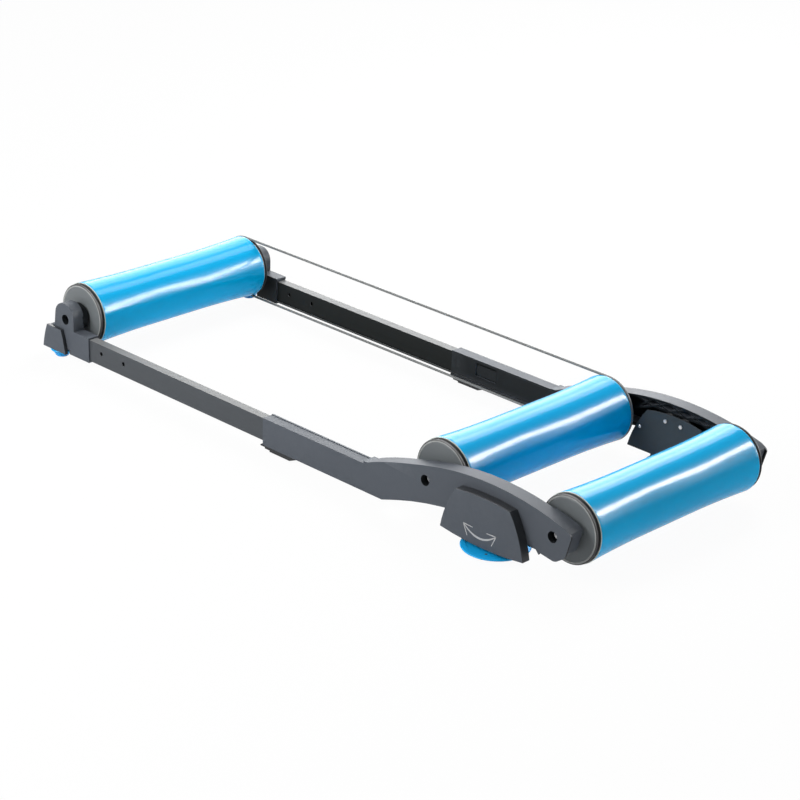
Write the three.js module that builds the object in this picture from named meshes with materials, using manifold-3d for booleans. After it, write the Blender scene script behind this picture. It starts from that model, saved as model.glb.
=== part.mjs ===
// Bike rollers: a telescoping frame that carries three concave rollers, on four swinging feet.
// Millimetres, +Z up. X runs from the front roller to the rear pair, and -Y is the near side.
// The sketch frame has its origin at the middle of the front axle. The last lines move the
// whole object so that its origin is the middle of its footprint, on the floor.

import * as THREE from 'three';
import { mergeVertices } from 'three/addons/utils/BufferGeometryUtils.js';
import Module from 'manifold-3d';

const wasm = await Module();
wasm.setup();

// Clearances and counts
const fitGap = 0.3;
const overrun = 2;
const bigRound = 32;
const smallRound = 16;
const arcSteps = 6;
const longArcSteps = 10;
const threads = { bolt: 4 };

// Layout of the whole object
const axleHeight = 80;
const rearAxleX = 1200;
const middleAxleX = 927;
const swingCentreX = 1068;
const swingStroke = 25;

// Rollers
const roller = {
  endRadius: 59,
  waistRadius: 55,
  halfLength: 197,
  tubeWall: 3.5,
  waistHalfLength: 60,
  flareSteps: 4,
};

// How far outward of the rollers' ends the frame's faces lie
const room = {
  frameOuter: 46.7,
  sleeveInner: 23,
  armFlange: 20,
  armBoss: 16,
  carrierInner: 9.5,
  rearCover: 64,
  bracketOuter: 46.3,
  bracketInner: 23,
  bracketBoss: 12,
  channelInner: 28,
  channelOuter: 42.3,
  frontCover: 53.5,
  frontDisc: 35,
};

const frameOuterY = roller.halfLength + room.frameOuter;

// End caps, one design for all six
const cap = {
  rimRadius: 57.5,
  rimWidth: 2.2,
  grooveRadius: 54.5,
  grooveWidth: 6,
  skirtDepth: 14,
  skirtWall: 4,
  plateDepth: 4,
  lipDepth: 3.7,
  lipRadius: 9,
  bevel: 0.7,
};

const bearing = { outerRadius: 13.7, innerRadius: 6.3, width: 8 };

const axle = { radius: 6, collarRadius: 9, seatDepth: 6, tapDepth: 22 };

const bolt = {
  headRadius: 6.2,
  headHeight: 5,
  socketRadius: 3,
  socketDepth: 3,
  holeRadius: 9.6,
  seatDepth: 16,
  length: 24,
};

const belt = { cordRadius: 2.2, wrapSteps: 16, sides: 8 };

// Rails and the sleeves that they slide in
const rail = {
  top: -20.6,
  bottom: -62,
  wall: 1.8,
  frontX: 36,
  rearX: 650,
  lipWidth: 3.8,
  lipHeight: 1.5,
  holeRadius: 4,
  firstHoleX: 100,
  holePitch: 63,
};

const sleeve = {
  frontX: 541,
  innerY: roller.halfLength + room.sleeveInner,
  wall: 3,
  skirtBottom: -68.5,
  floorBottom: -66,
  ledgeWidth: 2,
};

const clip = {
  frontX: 535,
  firstStepX: 546,
  secondStepX: 558,
  flatEndX: 608,
  rearX: 625,
  firstDrop: 2.4,
  secondDrop: 4.8,
  drop: 7.2,
};

const latch = {
  mouthGap: 63,
  length: 48,
  top: -26,
  bottom: -46,
  slot: 3,
  thickness: 2.4,
  pinReach: 12,
  pinZ: -38.5,
  pinRadius: 3.4,
  corner: 6,
};

// Rear frame arms
const arm = {
  kinkX: 788,
  kinkZ: -18.3,
  shoulderX: 930,
  shoulderPullX: 818,
  shoulderPullZ: -0.5,
  topRadius: 562,
  topZ: 44,
  bottomKinkX: 831,
  bottomRadius: 660,
  bottomZ: -25,
  skin: 3,
  flangeY: roller.halfLength + room.armFlange,
  flange: 3.6,
  tipX: 1238.5,
  tipTopZ: 14,
  tipLowX: 1227,
  tipLowZ: -27,
  tipFootX: 1207,
  tipFootZ: -40.5,
  tipNeckX: 1176,
  tipNeckZ: -36,
  toothX: 1174,
  toothWidth: 7,
  toothDrop: 4,
  cornerRadius: 7,
  tipRadius: 16,
  webTop: -14.6,
  web: 3.4,
  bossY: roller.halfLength + room.armBoss,
  middleBossRadius: 17.5,
  rearBlockLength: 60,
  rearBlockRadius: 22,
  blockInset: 3,
  ribWidth: 2.4,
};

// Wheels of the swing, and the track that they run under
const track = {
  wheelRadius: 11,
  wheelZ: 14,
  wheelPitch: 33,
  wheelWidth: 15,
  band: 3.4,
  endX: 92,
  endDrop: 15,
  boltRadius: 3,
  headRadius: 3.6,
  headHeight: 1.6,
};

// Rear feet: a carrier that straddles the arm, a cover and a levelling disc
const rearFoot = {
  topHalf: 58,
  topZ: 21,
  crownZ: 27.5,
  coverCrownZ: 25,
  bottomHalf: 89,
  bottomZ: -55.5,
  bottomSag: 6.5,
  sideBulge: 4.5,
  plateHalf: 96,
  innerY: roller.halfLength + room.carrierInner,
  plate: 3,
  baseHalf: 44,
  baseBottom: -66.4,
  wallTop: -30,
  coverY: roller.halfLength + room.rearCover,
  coverWall: 2.6,
};

const rearDisc = { radius: 57, rimTop: -66.8, rimHeight: 4, contactRadius: 22, notch: 3 };

// Front brackets
const bracket = {
  rearX: 67,
  outerY: roller.halfLength + room.bracketOuter,
  innerY: roller.halfLength + room.bracketInner,
  top: -17.6,
  bottom: -65.5,
  noseX: -48,
  noseTop: -22,
  noseBottom: -58,
  stepX: 10.5,
  lugFrontX: -33,
  lugShoulderX: -27,
  lugRadius: 24,
  lugTop: 30,
  lugRearX: 24,
  bossY: roller.halfLength + room.bracketBoss,
  bossRadius: 25,
  channelInnerY: roller.halfLength + room.channelInner,
  channelOuterY: roller.halfLength + room.channelOuter,
  channelTop: -24,
  channelRearX: 15.5,
  socketWall: 2.3,
  padOverhang: 1.5,
  padHeight: 3.6,
  padCorner: 1.6,
};

// Front feet
const frontFoot = {
  centreX: -26,
  topFrontX: -47,
  topRearX: -6,
  topZ: -20.5,
  bottomFrontX: -59,
  bottomRearX: 6,
  bottomZ: -66,
  sideBulge: 1.5,
  coverY: roller.halfLength + room.frontCover,
  baseHalf: 10,
  baseTop: -58.4,
  baseBottom: -65.8,
  postHalf: 9,
  postThick: 3.6,
  wheelRadius: 9,
  wheelWidth: 7.4,
};

const frontDisc = { radius: 21, rimTop: -66.2, rimHeight: 3.5, contactRadius: 12, notch: 2 };

// Derived places
const boreRadius = roller.waistRadius - roller.tubeWall;
const railOuterY = frameOuterY - sleeve.wall - fitGap;
const railInnerY = sleeve.innerY + sleeve.wall + fitGap;
const capOuterY = roller.halfLength + fitGap + cap.grooveWidth + cap.rimWidth;
const bearingOuterY = capOuterY - 0.5 * cap.rimWidth;
const beltY = roller.halfLength + fitGap + 0.5 * cap.grooveWidth;
const beltRadius = (cap.grooveRadius + fitGap + belt.cordRadius) / Math.cos(Math.PI / (2 * belt.wrapSteps));
const armSkinY = frameOuterY - arm.skin;
const latchTipX = sleeve.frontX + latch.mouthGap;
const latchRootX = latchTipX + latch.length;
const latchPinX = latchTipX + latch.pinReach;
const railPathTop = rail.top + fitGap;
const railPathBottom = rail.bottom - fitGap;
const coverInnerY = frameOuterY + 2 * fitGap;
const frontPostY = bracket.channelInnerY + 2 * fitGap + track.headHeight;
const rearDiscY = 0.5 * (rearFoot.innerY + frameOuterY);
const frontDiscY = roller.halfLength + room.frontDisc;
const frontWheelY = frontPostY + frontFoot.postThick + fitGap;
const frontWheelZ = bracket.channelTop - fitGap - frontFoot.wheelRadius;

// Materials
function finish(color, roughness, metalness) {
  return new THREE.MeshStandardMaterial({ color, roughness, metalness });
}
const slatePlastic = () => finish(0x565b62, 0.5, 0);
const blackPlastic = () => finish(0x24262a, 0.55, 0);
const blueTube = () => finish(0x0aa2e6, 0.2, 0);
const greyPlastic = () => finish(0x7b8080, 0.5, 0);
const bluePlastic = () => finish(0x2b9be8, 0.4, 0);
const darkRail = () => finish(0x33363a, 0.35, 0.6);
const steel = () => finish(0xb8bcc0, 0.3, 1);
const greyRubber = () => finish(0x8a8a8a, 0.8, 0);

// Turns a closed three.js geometry into a solid whose faces point out
function solid(geometry) {
  const bare = new THREE.BufferGeometry();
  bare.setAttribute('position', geometry.getAttribute('position').clone());
  if (geometry.index) bare.setIndex(geometry.index.clone());
  const merged = mergeVertices(bare, 1e-4);
  const positions = new Float32Array(merged.getAttribute('position').array);
  const corners = Uint32Array.from(merged.index.array);
  if (signedVolume(positions, corners) < 0) {
    for (let i = 0; i < corners.length; i += 3) {
      const kept = corners[i];
      corners[i] = corners[i + 1];
      corners[i + 1] = kept;
    }
  }
  const mesh = new wasm.Mesh({ numProp: 3, vertProperties: positions, triVerts: corners });
  return new wasm.Manifold(mesh);
}

function signedVolume(positions, corners) {
  const a = new THREE.Vector3();
  const b = new THREE.Vector3();
  const c = new THREE.Vector3();
  let total = 0;
  for (let i = 0; i < corners.length; i += 3) {
    a.fromArray(positions, 3 * corners[i]);
    b.fromArray(positions, 3 * corners[i + 1]);
    c.fromArray(positions, 3 * corners[i + 2]);
    total += a.dot(b.cross(c));
  }
  return total;
}

function join(first, ...others) {
  return others.reduce((sum, next) => sum.add(next), first);
}

function cut(body, ...tools) {
  return tools.reduce((left, tool) => left.subtract(tool), body);
}

const object = new THREE.Group();

function piece(name, body, material) {
  const { vertProperties, triVerts, numProp } = body.getMesh();
  const geometry = new THREE.BufferGeometry();
  const positions = new Float32Array((vertProperties.length / numProp) * 3);
  for (let i = 0; i < positions.length / 3; i += 1) {
    for (let k = 0; k < 3; k += 1) positions[3 * i + k] = vertProperties[numProp * i + k];
  }
  geometry.setAttribute('position', new THREE.BufferAttribute(positions, 3));
  geometry.setIndex(new THREE.BufferAttribute(triVerts, 1));
  geometry.computeVertexNormals();
  const mesh = new THREE.Mesh(geometry, material);
  mesh.name = name;
  object.add(mesh);
}

// The two sides of the frame: y is the distance from the middle plane, sign gives the side
const sides = [{ name: 'near', sign: -1 }, { name: 'far', sign: 1 }];

function block(side, x0, x1, y0, y1, z0, z1) {
  const geometry = new THREE.BoxGeometry(x1 - x0, y1 - y0, z1 - z0);
  geometry.translate((x0 + x1) / 2, (side.sign * (y0 + y1)) / 2, (z0 + z1) / 2);
  return solid(geometry);
}

// A side outline drawn in x and z, given thickness from y0 to y1 on one side of the frame
function slab(side, outline, y0, y1) {
  const geometry = new THREE.ExtrudeGeometry(outline, {
    depth: y1 - y0,
    bevelEnabled: false,
    curveSegments: longArcSteps,
  });
  geometry.rotateX(Math.PI / 2);
  geometry.translate(0, side.sign > 0 ? y1 : -y0, 0);
  return solid(geometry);
}

// A turned piece on an axis along Y: points are [radius, y] with y the distance outward
function turned(side, points, x, z, sectors) {
  const profile = points.map(([r, y]) => new THREE.Vector2(r, side.sign * y));
  profile.push(profile[0].clone());
  const geometry = new THREE.LatheGeometry(profile, sectors);
  geometry.translate(x, 0, z);
  return solid(geometry);
}

function peg(side, radius, x, z, y0, y1, sectors) {
  return turned(side, [[0, y0], [radius, y0], [radius, y1], [0, y1]], x, z, sectors);
}

// An outline of straight edges whose corners may be rounded: points are [x, z, radius]
function outlineOf(points) {
  const outline = new THREE.Shape();
  points.forEach(([x, z, radius = 0], i) => {
    const here = new THREE.Vector2(x, z);
    if (radius === 0) {
      if (i === 0) outline.moveTo(x, z);
      else outline.lineTo(x, z);
      return;
    }
    const before = new THREE.Vector2(...points.at(i - 1));
    const after = new THREE.Vector2(...points[(i + 1) % points.length]);
    const back = before.sub(here);
    const ahead = after.sub(here);
    const turn = Math.abs(Math.PI - back.angleTo(ahead));
    const reach = Math.min(radius * Math.tan(turn / 2), back.length() / 2, ahead.length() / 2);
    const bend = reach / Math.tan(turn / 2);
    const start = here.clone().addScaledVector(back.normalize(), reach);
    const middle = back.clone().add(ahead.normalize()).normalize();
    const centre = here.clone().addScaledVector(middle, bend / Math.cos(turn / 2));
    const end = here.clone().addScaledVector(ahead, reach);
    const from = start.clone().sub(centre);
    const to = end.clone().sub(centre);
    const sweep = Math.atan2(from.cross(to), from.dot(to));
    for (let step = 0; step <= arcSteps; step += 1) {
      const spoke = from.clone().rotateAround(new THREE.Vector2(), (sweep * step) / arcSteps);
      const point = centre.clone().add(spoke);
      if (i === 0 && step === 0) outline.moveTo(point.x, point.y);
      else outline.lineTo(point.x, point.y);
    }
  });
  return outline;
}

// Height of an arch at a distance from its crown
function archZ(crownZ, radius, distance) {
  return crownZ - radius + Math.sqrt(radius * radius - distance * distance);
}

function archPoints(crownX, crownZ, radius, fromX, toX, steps) {
  return Array.from({ length: steps + 1 }, (_, i) => {
    const x = fromX + ((toX - fromX) * i) / steps;
    return [x, archZ(crownZ, radius, x - crownX)];
  });
}

// Radius of an arch that drops by a given height over half its span
function archRadius(halfSpan, drop) {
  return (halfSpan * halfSpan + drop * drop) / (2 * drop);
}

// The hole for an axle bolt: its seat, shank and the socket that takes the axle's end
function axleHole(side, x, bossY, faceY) {
  const seatY = faceY - bolt.seatDepth;
  const socketY = bossY + axle.seatDepth + fitGap;
  return join(
    peg(side, bolt.holeRadius, x, 0, seatY, faceY + overrun, smallRound),
    peg(side, threads.bolt + fitGap, x, 0, bossY, seatY + overrun, smallRound),
    peg(side, axle.radius + fitGap, x, 0, bossY - overrun, socketY, smallRound),
  );
}

// Rollers

function rollerTube(x) {
  const outside = [];
  const flareSpan = roller.halfLength - roller.waistHalfLength;
  const flareRise = roller.endRadius - roller.waistRadius;
  for (let i = 0; i <= roller.flareSteps; i += 1) {
    const share = i / roller.flareSteps;
    const y = roller.waistHalfLength + flareSpan * share;
    outside.push([roller.waistRadius + flareRise * share * share, y]);
  }
  const mirrored = outside.map(([r, y]) => [r, -y]).reverse();
  const full = [...mirrored, ...outside];
  const inside = [[boreRadius, roller.halfLength], [boreRadius, -roller.halfLength]];
  return turned(sides[1], [...full, ...inside], x, 0, bigRound);
}

function endCap(side, x) {
  const insideRadius = boreRadius - fitGap;
  const plugY = roller.halfLength - cap.skirtDepth;
  const plateY = roller.halfLength - cap.plateDepth;
  const seatY = bearingOuterY - bearing.width - fitGap;
  const grooveInnerY = roller.halfLength + fitGap;
  const grooveOuterY = grooveInnerY + cap.grooveWidth;
  return turned(side, [
    [cap.lipRadius, seatY - cap.lipDepth],
    [cap.lipRadius, seatY],
    [bearing.outerRadius + fitGap, seatY],
    [bearing.outerRadius + fitGap, capOuterY],
    [cap.rimRadius - cap.bevel, capOuterY],
    [cap.rimRadius, capOuterY - cap.bevel],
    [cap.rimRadius, grooveOuterY],
    [cap.grooveRadius, grooveOuterY - cap.bevel],
    [cap.grooveRadius, grooveInnerY],
    [insideRadius, grooveInnerY],
    [insideRadius, plugY],
    [insideRadius - cap.skirtWall, plugY],
    [insideRadius - cap.skirtWall, plateY],
  ], x, 0, bigRound);
}

function ballBearing(side, x) {
  const { innerRadius, outerRadius, width } = bearing;
  const inner = bearingOuterY - width;
  return turned(side, [
    [innerRadius, inner], [outerRadius, inner], [outerRadius, bearingOuterY], [innerRadius, bearingOuterY],
  ], x, 0, smallRound);
}

function axleShaft(x, bossY) {
  const collarY = bearingOuterY + fitGap;
  const endY = bossY + axle.seatDepth;
  const half = [
    [axle.radius, collarY],
    [axle.collarRadius, collarY],
    [axle.collarRadius, bossY - fitGap],
    [axle.radius, bossY - fitGap],
    [axle.radius, endY],
    [0, endY],
  ];
  const mirrored = half.map(([r, y]) => [r, -y]).reverse();
  const shaft = turned(sides[1], [...mirrored, ...half], x, 0, smallRound);
  const taps = sides.map((side) => (
    peg(side, threads.bolt + fitGap, x, 0, endY - axle.tapDepth, endY + overrun, smallRound)
  ));
  return cut(shaft, ...taps);
}

function axleBolt(side, x, faceY) {
  const seatY = faceY - bolt.seatDepth + fitGap;
  const headY = seatY + bolt.headHeight;
  const body = turned(side, [
    [0, seatY - bolt.length],
    [threads.bolt, seatY - bolt.length],
    [threads.bolt, seatY],
    [bolt.headRadius, seatY],
    [bolt.headRadius, headY],
    [0, headY],
  ], x, 0, smallRound);
  return cut(body, peg(side, bolt.socketRadius, x, 0, headY - bolt.socketDepth, headY + overrun, 6));
}

const rollers = [
  { name: 'front', x: 0, bossY: bracket.bossY, faceY: bracket.outerY },
  { name: 'middle', x: middleAxleX, bossY: arm.bossY, faceY: frameOuterY },
  { name: 'rear', x: rearAxleX, bossY: arm.bossY, faceY: frameOuterY },
];

for (const { name, x, bossY, faceY } of rollers) {
  piece(`${name}_roller_tube`, rollerTube(x), blueTube());
  piece(`${name}_axle`, axleShaft(x, bossY), steel());
  for (const side of sides) {
    piece(`${name}_roller_cap_${side.name}`, endCap(side, x), greyPlastic());
    piece(`${name}_bearing_${side.name}`, ballBearing(side, x), steel());
    piece(`${name}_axle_bolt_${side.name}`, axleBolt(side, x, faceY), steel());
  }
}

// Drive belt: one closed cord round the far grooves of the front and middle rollers

function driveBelt() {
  const stations = [];
  for (const [x, turn] of [[middleAxleX, 0], [0, Math.PI]]) {
    for (let i = 0; i <= belt.wrapSteps; i += 1) {
      const angle = Math.PI / 2 - (Math.PI * i) / belt.wrapSteps - turn;
      stations.push({ x, angle });
    }
  }
  const positions = [];
  for (const { x, angle } of stations) {
    for (let k = 0; k < belt.sides; k += 1) {
      const around = (2 * Math.PI * k) / belt.sides;
      const reach = beltRadius + belt.cordRadius * Math.cos(around);
      positions.push(
        x + reach * Math.cos(angle),
        beltY + belt.cordRadius * Math.sin(around),
        reach * Math.sin(angle),
      );
    }
  }
  const corners = [];
  for (let i = 0; i < stations.length; i += 1) {
    const next = (i + 1) % stations.length;
    for (let k = 0; k < belt.sides; k += 1) {
      const beside = (k + 1) % belt.sides;
      const a = i * belt.sides + k;
      const b = i * belt.sides + beside;
      const c = next * belt.sides + beside;
      const d = next * belt.sides + k;
      corners.push(a, b, c, a, c, d);
    }
  }
  const geometry = new THREE.BufferGeometry();
  geometry.setAttribute('position', new THREE.Float32BufferAttribute(positions, 3));
  geometry.setIndex(corners);
  return solid(geometry);
}

piece('drive_belt', driveBelt(), greyRubber());

// Rear frame arm: sleeve, arched box with ribs, and the tip that holds the rear axle

function armOutline() {
  const shoulderZ = archZ(arm.topZ, arm.topRadius, arm.shoulderX - swingCentreX);
  const outline = new THREE.Shape();
  outline.moveTo(sleeve.frontX, sleeve.skirtBottom);
  outline.lineTo(sleeve.frontX, arm.kinkZ);
  outline.lineTo(arm.kinkX, arm.kinkZ);
  outline.quadraticCurveTo(arm.shoulderPullX, arm.shoulderPullZ, arm.shoulderX, shoulderZ);
  const top = archPoints(
    swingCentreX, arm.topZ, arm.topRadius, arm.shoulderX, arm.tipX - 2 * arm.cornerRadius, longArcSteps,
  );
  top.slice(1).forEach(([x, z]) => outline.lineTo(x, z));
  const toothRootX = arm.toothX - arm.toothWidth;
  const bottom = archPoints(
    swingCentreX, arm.bottomZ, arm.bottomRadius, toothRootX, arm.bottomKinkX, longArcSteps,
  );
  const tip = outlineOf([
    [...top.at(-1)],
    [arm.tipX, arm.tipTopZ, arm.cornerRadius],
    [arm.tipLowX, arm.tipLowZ, arm.tipRadius],
    [arm.tipFootX, arm.tipFootZ, arm.tipRadius],
    [arm.tipNeckX, arm.tipNeckZ],
    [arm.toothX, arm.tipNeckZ - arm.toothDrop],
    [...bottom[0]],
  ]).getPoints();
  tip.slice(1).forEach((point) => outline.lineTo(point.x, point.y));
  bottom.slice(1, -1).forEach(([x, z]) => outline.lineTo(x, z));
  outline.lineTo(arm.bottomKinkX, sleeve.skirtBottom);
  return outline;
}

// Strip that follows the arm's top edge, one flange thick
function armTopFlange(side) {
  const shoulderZ = archZ(arm.topZ, arm.topRadius, arm.shoulderX - swingCentreX);
  const startX = arm.kinkX - sleeve.wall;
  const rise = new THREE.QuadraticBezierCurve(
    new THREE.Vector2(arm.kinkX, arm.kinkZ),
    new THREE.Vector2(arm.shoulderPullX, arm.shoulderPullZ),
    new THREE.Vector2(arm.shoulderX, shoulderZ),
  ).getPoints(longArcSteps).map((point) => [point.x, point.y]);
  const arch = archPoints(
    swingCentreX, arm.topZ, arm.topRadius, arm.shoulderX, arm.tipX - 2 * arm.cornerRadius, longArcSteps,
  ).slice(1);
  const upper = [[startX, arm.kinkZ], ...rise, ...arch];
  const lower = upper.map(([x, z]) => [x, z - arm.flange]).reverse();
  return slab(side, outlineOf([...upper, ...lower]), arm.flangeY, armSkinY + overrun);
}

// Band above the wheels: flat where they run, sloping down to its ends
function trackBand(side) {
  const roofZ = track.wheelZ + track.wheelRadius + fitGap;
  const flatHalf = 0.5 * track.wheelPitch + swingStroke + track.wheelRadius;
  const { band, endX, endDrop } = track;
  const left = swingCentreX - endX;
  const right = swingCentreX + endX;
  return slab(side, outlineOf([
    [left, roofZ - endDrop],
    [swingCentreX - flatHalf, roofZ],
    [swingCentreX + flatHalf, roofZ],
    [right, roofZ - endDrop],
    [right, roofZ - endDrop + band],
    [swingCentreX + flatHalf, roofZ + band],
    [swingCentreX - flatHalf, roofZ + band],
    [left, roofZ - endDrop + band],
  ]), arm.flangeY, armSkinY + overrun);
}

function bar(side, x0, z0, x1, z1, width, y0, y1) {
  const along = new THREE.Vector2(x1 - x0, z1 - z0).normalize().multiplyScalar(width / 2);
  const across = new THREE.Vector2(-along.y, along.x);
  return slab(side, outlineOf([
    [x0 + across.x, z0 + across.y],
    [x1 + across.x, z1 + across.y],
    [x1 - across.x, z1 - across.y],
    [x0 - across.x, z0 - across.y],
  ]), y0, y1);
}

// Crossed ribs between the top flange and the band
function armRibs(side) {
  const ribs = [];
  const cells = 5;
  const startX = swingCentreX - track.endX;
  const pitch = (2 * track.endX) / cells;
  const roofZ = track.wheelZ + track.wheelRadius + fitGap;
  const flatHalf = 0.5 * track.wheelPitch + swingStroke + track.wheelRadius;
  const bandTop = (x) => {
    const beyond = Math.max(0, Math.abs(x - swingCentreX) - flatHalf);
    return roofZ + 0.5 * track.band - (track.endDrop * beyond) / (track.endX - flatHalf);
  };
  const flangeLow = (x) => archZ(arm.topZ, arm.topRadius, x - swingCentreX) - 0.5 * arm.flange;
  for (let i = 0; i < cells; i += 1) {
    const x0 = startX + pitch * i;
    const x1 = x0 + pitch;
    ribs.push(bar(side, x0, bandTop(x0), x1, flangeLow(x1), arm.ribWidth, arm.flangeY, armSkinY + overrun));
    ribs.push(bar(side, x0, flangeLow(x0), x1, bandTop(x1), arm.ribWidth, arm.flangeY, armSkinY + overrun));
  }
  return ribs;
}

// The whole moulding of one side: the sleeve in front and the arched arm behind
function armMoulding(side) {
  const skin = slab(side, armOutline(), armSkinY, frameOuterY);
  const top = block(
    side, sleeve.frontX, arm.kinkX, sleeve.innerY, armSkinY + overrun, railPathTop, arm.kinkZ,
  );
  const innerWall = block(
    side, sleeve.frontX, arm.bottomKinkX, sleeve.innerY, sleeve.innerY + sleeve.wall,
    rail.bottom + rail.lipHeight + fitGap, railPathTop + sleeve.wall,
  );
  const floor = block(
    side, sleeve.frontX, arm.bottomKinkX, sleeve.innerY - sleeve.ledgeWidth, armSkinY + overrun,
    sleeve.floorBottom, railPathBottom,
  );
  const webLeftX = arm.kinkX - sleeve.wall;
  const blockX = arm.tipX - arm.rearBlockLength;
  const web = block(
    side, webLeftX, blockX, arm.flangeY, armSkinY + overrun, arm.webTop - arm.web, arm.webTop,
  );
  const middleBoss = peg(
    side, arm.middleBossRadius, middleAxleX, 0, arm.bossY, armSkinY + overrun, smallRound,
  );
  const blockShape = slab(side, armOutline(), arm.bossY, armSkinY + overrun);
  const drawnIn = blockShape.translate([-arm.blockInset, 0, arm.blockInset]);
  const rearBlock = blockShape.intersect(drawnIn).intersect(
    join(
      peg(side, arm.rearBlockRadius, blockX, 0, arm.bossY, armSkinY + overrun, bigRound),
      block(
        side, blockX, arm.tipX, arm.bossY, armSkinY + overrun,
        sleeve.skirtBottom, arm.topZ,
      ),
    ),
  );
  const body = join(
    skin, top, innerWall, floor, web, armTopFlange(side), trackBand(side), middleBoss, rearBlock,
    ...armRibs(side),
  );
  const tongueSlot = block(
    side, latchTipX - latch.slot, latchRootX + fitGap, sleeve.innerY - overrun,
    sleeve.innerY + sleeve.wall + 0.5 * overrun, latch.bottom - latch.slot, latch.top + latch.slot,
  );
  const railPath = block(
    side, sleeve.frontX - overrun, blockX, railInnerY - fitGap, armSkinY, railPathBottom, railPathTop,
  );
  return cut(
    body,
    railPath,
    tongueSlot,
    axleHole(side, middleAxleX, arm.bossY, frameOuterY),
    axleHole(side, rearAxleX, arm.bossY, frameOuterY),
  );
}

// The moulding is cut in two where the closed sleeve ends, so that each half stays simple to collide with
function sleeveHalf(side) {
  return armMoulding(side).intersect(block(
    side, sleeve.frontX - overrun, arm.bottomKinkX, arm.bossY - overrun, frameOuterY + overrun,
    sleeve.skirtBottom - overrun, arm.topZ + overrun,
  ));
}

function armHalf(side) {
  return armMoulding(side).intersect(block(
    side, arm.bottomKinkX + fitGap, arm.tipX + overrun, arm.bossY - overrun, frameOuterY + overrun,
    sleeve.skirtBottom - overrun, arm.topZ + overrun,
  ));
}

// Stepped clip that closes the sleeve's mouth from below
function sleeveClip(side) {
  const topZ = sleeve.skirtBottom - fitGap;
  const lowZ = topZ - clip.drop;
  return slab(side, outlineOf([
    [clip.frontX, topZ],
    [clip.frontX, topZ - clip.firstDrop],
    [clip.firstStepX, topZ - clip.firstDrop],
    [clip.firstStepX, topZ - clip.secondDrop],
    [clip.secondStepX, topZ - clip.secondDrop],
    [clip.secondStepX, lowZ],
    [clip.flatEndX, lowZ],
    [clip.rearX, topZ],
  ]), sleeve.innerY, frameOuterY);
}

// Sprung tongue in the sleeve's inner wall, with the pin that finds the rail's holes
function latchTongue(side) {
  const innerY = sleeve.innerY;
  const outerY = innerY + latch.thickness;
  const plate = slab(side, outlineOf([
    [latchTipX, latch.bottom, latch.corner],
    [latchRootX, latch.bottom],
    [latchRootX, latch.top],
    [latchTipX, latch.top, latch.corner],
  ]), innerY, outerY);
  const pin = peg(
    side, latch.pinRadius, latchPinX, latch.pinZ, innerY + 0.5 * overrun, railInnerY - fitGap, smallRound,
  );
  return join(plate, pin);
}

// Rail: a hollow bar with a lip along its lower inner edge

function railBar(side) {
  const shell = block(side, rail.frontX, rail.rearX, railInnerY, railOuterY, rail.bottom, rail.top);
  const bore = block(
    side, rail.frontX - overrun, rail.rearX + overrun, railInnerY + rail.wall, railOuterY - rail.wall,
    rail.bottom + rail.wall, rail.top - rail.wall,
  );
  const lip = block(
    side, bracket.rearX + fitGap, rail.rearX, railInnerY - rail.lipWidth, railInnerY + rail.wall,
    rail.bottom, rail.bottom + rail.lipHeight,
  );
  const holes = [rail.firstHoleX, rail.firstHoleX + rail.holePitch, latchPinX].map((x) => (
    peg(side, rail.holeRadius, x, latch.pinZ, railInnerY - overrun, railOuterY + overrun, smallRound)
  ));
  return cut(join(shell, lip), bore, ...holes);
}

// Front bracket: socket for the rail, lug for the front axle, channel for the foot's wheel

function bracketBody(side) {
  const lug = slab(side, outlineOf([
    [bracket.lugFrontX, bracket.noseTop],
    [bracket.lugShoulderX, bracket.lugTop, bracket.lugRadius],
    [bracket.lugRearX, bracket.lugTop, bracket.lugRadius],
    [bracket.lugRearX, bracket.noseTop],
  ]), bracket.innerY, bracket.outerY);
  const base = slab(side, outlineOf([
    [bracket.noseX, bracket.noseBottom],
    [bracket.stepX, bracket.noseBottom],
    [bracket.stepX, bracket.bottom],
    [bracket.rearX, bracket.bottom],
    [bracket.rearX, bracket.top],
    [bracket.lugRearX, bracket.top],
    [bracket.lugFrontX, bracket.top],
    [bracket.noseX, bracket.noseTop],
  ]), bracket.innerY, bracket.outerY);
  const boss = peg(
    side, bracket.bossRadius, 0, 0, bracket.bossY, bracket.innerY + overrun, bigRound,
  );
  const padEndX = bracket.rearX + bracket.padOverhang;
  const padTop = bracket.top + bracket.padHeight;
  const pad = side.sign < 0 ? [] : [slab(side, outlineOf([
    [bracket.lugRearX - bracket.padCorner, bracket.top - overrun],
    [padEndX, bracket.top - overrun],
    [padEndX, padTop, bracket.padCorner],
    [bracket.lugRearX - bracket.padCorner, padTop],
  ]), bracket.innerY, bracket.outerY)];
  const channel = block(
    side, bracket.noseX - overrun, bracket.channelRearX, bracket.channelInnerY, bracket.channelOuterY,
    bracket.bottom - overrun, bracket.channelTop,
  );
  const socket = block(
    side, rail.frontX - fitGap, bracket.rearX + overrun, railInnerY - fitGap, railOuterY + fitGap,
    railPathBottom, railPathTop,
  );
  const spigot = block(
    side, rail.frontX - overrun, bracket.rearX - overrun, railInnerY + rail.wall + fitGap,
    railOuterY - rail.wall - fitGap, rail.bottom + rail.wall + fitGap, rail.top - rail.wall - fitGap,
  );
  const shell = cut(
    join(lug, base, boss, ...pad), channel, socket,
    axleHole(side, 0, bracket.bossY, bracket.outerY),
  );
  return join(shell, spigot);
}

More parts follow.
